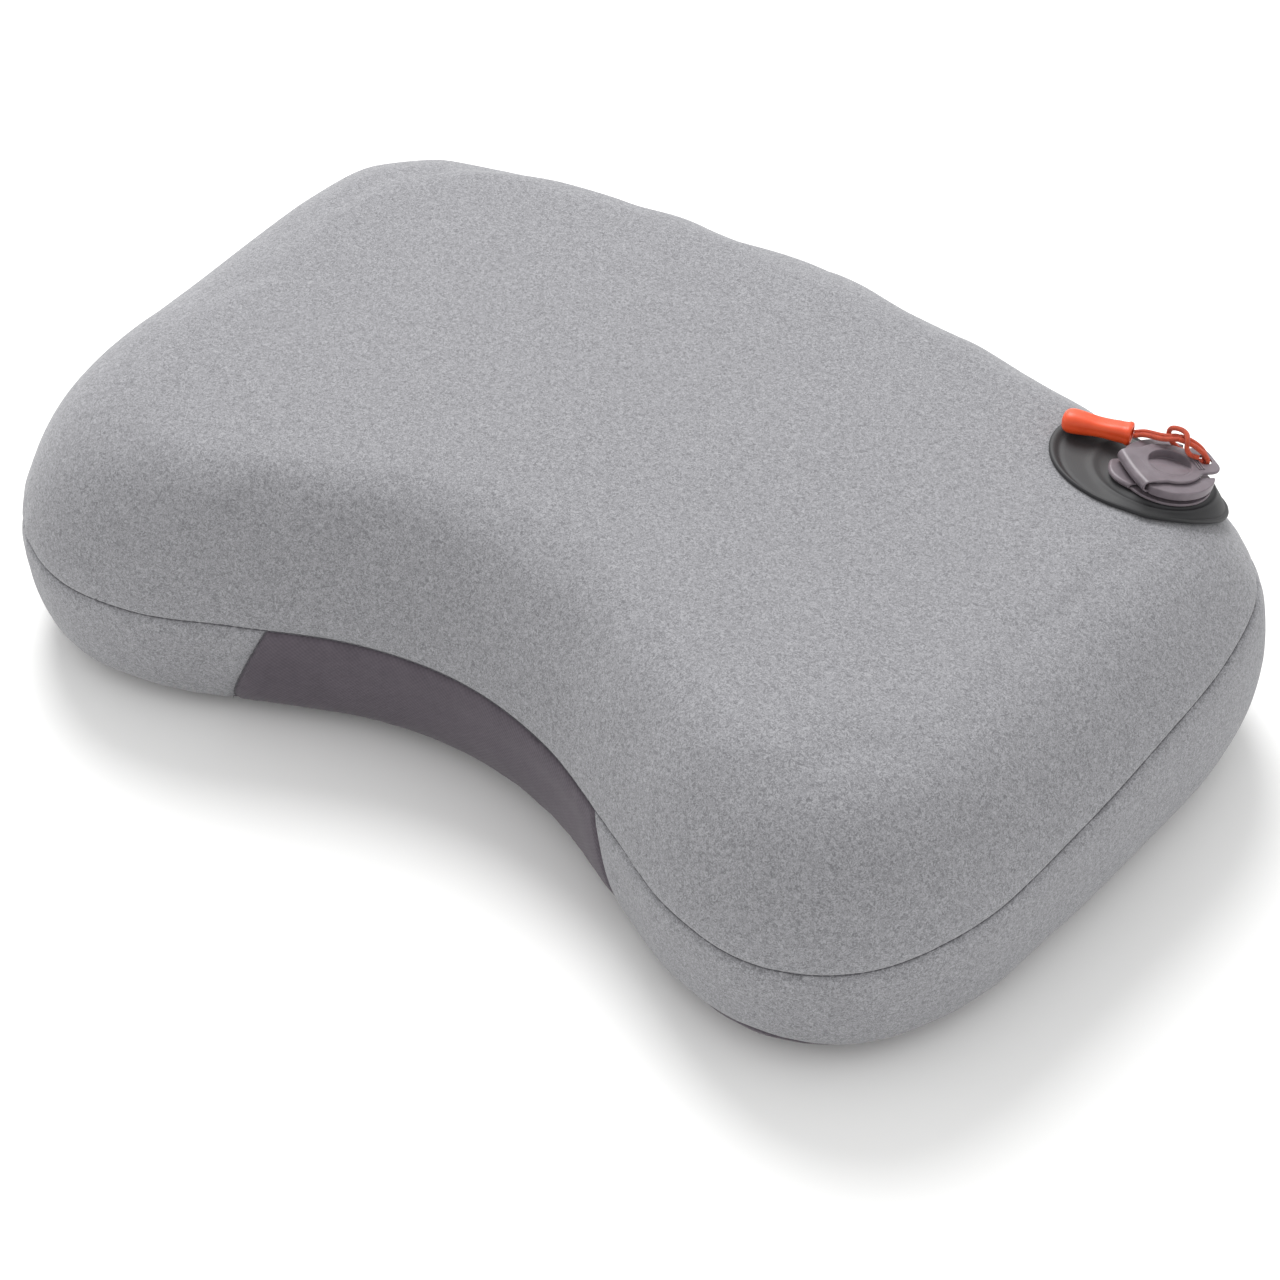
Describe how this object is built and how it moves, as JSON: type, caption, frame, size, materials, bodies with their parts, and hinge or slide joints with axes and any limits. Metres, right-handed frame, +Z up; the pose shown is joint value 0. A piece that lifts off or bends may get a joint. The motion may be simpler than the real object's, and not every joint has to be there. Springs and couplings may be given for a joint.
{
  "type": "camp pillow",
  "caption": "Inflatable camp pillow with a curved neck hollow, brushed top, woven front and base, and a flap valve opened by a cord with a pull tab.",
  "frame": {"origin": "middle of the base, on the surface that the pillow rests on, below the middle of its outline", "axes": "+X along the pillow to the right, +Y towards the straight back edge, +Z up; the hollowed front edge faces -Y"},
  "size_m": [0.4314, 0.291, 0.1146],
  "materials": {
    "knit": "brushed polyester knit, short soft nap, light grey",
    "woven": "plain-woven polyester, dark grey with a mauve cast",
    "thread": "sewing thread in the seam, dark grey",
    "film": "polyurethane-coated air-tight film",
    "patch": "matt black welded patch",
    "valve": "soft translucent polyurethane, satin",
    "membrane": "clear silicone",
    "cord": "orange-red braided cord",
    "pull_tab": "moulded orange-red soft plastic"
  },
  "bodies": {
    "pillow": {"cover_top_panel": "knit", "cover_side_band": "knit", "cover_front_panel": "woven", "cover_base_panel": "woven", "seam_upper": "thread", "seam_base": "thread", "seam_front_right": "thread", "seam_front_left": "thread", "bladder_upper_film": "film", "bladder_lower_film": "film", "bladder_weld_band": "film", "valve_patch": "patch", "valve_seat": "valve", "flap_hinge_strap": "valve"},
    "flap": {"deflation_flap": "valve", "cap_hinge_strap": "valve"},
    "membrane": {"check_membrane": "membrane"},
    "cap": {"inflation_cap": "valve", "pull_cord_root_near": "cord", "pull_cord_root_far": "cord", "pull_cord_turn": "cord", "pull_cord_hitch": "cord"},
    "cord_bend": {"pull_cord_bend_near": "cord", "pull_cord_bend_far": "cord"},
    "cord_end": {"pull_cord_end_near": "cord", "pull_cord_end_far": "cord", "pull_tab": "pull_tab"}
  },
  "joints": [
    {"name": "flap_open", "type": "hinge", "parent": "pillow", "child": "flap", "pos_m": [0.15359, 0.06939, 0.10406], "axis": [0.8286, -0.5589, 0.0319], "range_deg": [0, 65], "deforming": ["flap_hinge_strap"]},
    {"name": "cap_open", "type": "hinge", "parent": "flap", "child": "cap", "pos_m": [0.15623, 0.07345, 0.10677], "axis": [0.8286, -0.5589, 0.0319], "range_deg": [0, 85], "deforming": ["cap_hinge_strap"]},
    {"name": "membrane_open", "type": "hinge", "parent": "flap", "child": "membrane", "pos_m": [0.15788, 0.07544, 0.09881], "axis": [-0.8286, 0.5589, -0.0319], "range_deg": [0, 22], "stiffness_Nm_per_rad": 0.0005},
    {"name": "cord_bend_turn", "type": "hinge", "parent": "cap", "child": "cord_bend", "pos_m": [0.16099, 0.09364, 0.11052], "axis": [0.8286, -0.5589, 0.0319], "range_deg": [-85, 0], "deforming": ["pull_cord_bend_near", "pull_cord_bend_far", "pull_cord_root_near", "pull_cord_root_far"]},
    {"name": "cord_end_turn", "type": "hinge", "parent": "cord_bend", "child": "cord_end", "pos_m": [0.16099, 0.09364, 0.11052], "axis": [0.07, 0.1599, 0.9846], "range_deg": [-40, 0], "deforming": ["pull_cord_end_near", "pull_cord_end_far"]}
  ],
  "couplings": [
    {"joint": "cord_bend_turn", "follows": "cap_open", "ratio": -1},
    {"joint": "cord_end_turn", "follows": "flap_open", "ratio": -0.6153}
  ]
}
